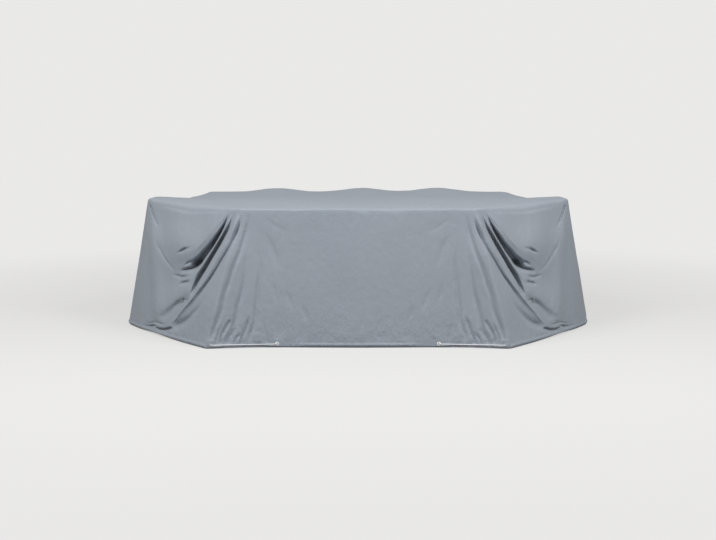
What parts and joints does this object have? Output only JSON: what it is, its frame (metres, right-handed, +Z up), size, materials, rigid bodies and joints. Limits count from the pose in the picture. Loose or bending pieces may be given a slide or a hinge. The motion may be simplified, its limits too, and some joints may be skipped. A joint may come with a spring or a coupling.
{
  "type": "patio furniture cover",
  "caption": "Fitted fabric cover draped over a low patio furniture set, open below, with deep swag folds at its cut front corners and a draw cord along each side of the front hem.",
  "frame": {"origin": "on the ground, under the middle of the cover's bounding box", "axes": "+Z up, +X along the cover's length to the right as seen from the front, -Y towards the front"},
  "size_m": [2.8106, 1.5468, 0.7858],
  "materials": {
    "cover_cloth": "matt woven polyester",
    "draw_cord": "braided cord",
    "eyelet": "satin"
  },
  "bodies": {
    "root": {"cover_cloth": "cover_cloth", "left_draw_cord": "draw_cord", "left_front_eyelet": "eyelet", "left_front_knot": "draw_cord", "left_corner_knot": "draw_cord", "right_draw_cord": "draw_cord", "right_front_eyelet": "eyelet", "right_front_knot": "draw_cord", "right_corner_knot": "draw_cord"}
  },
  "joints": []
}
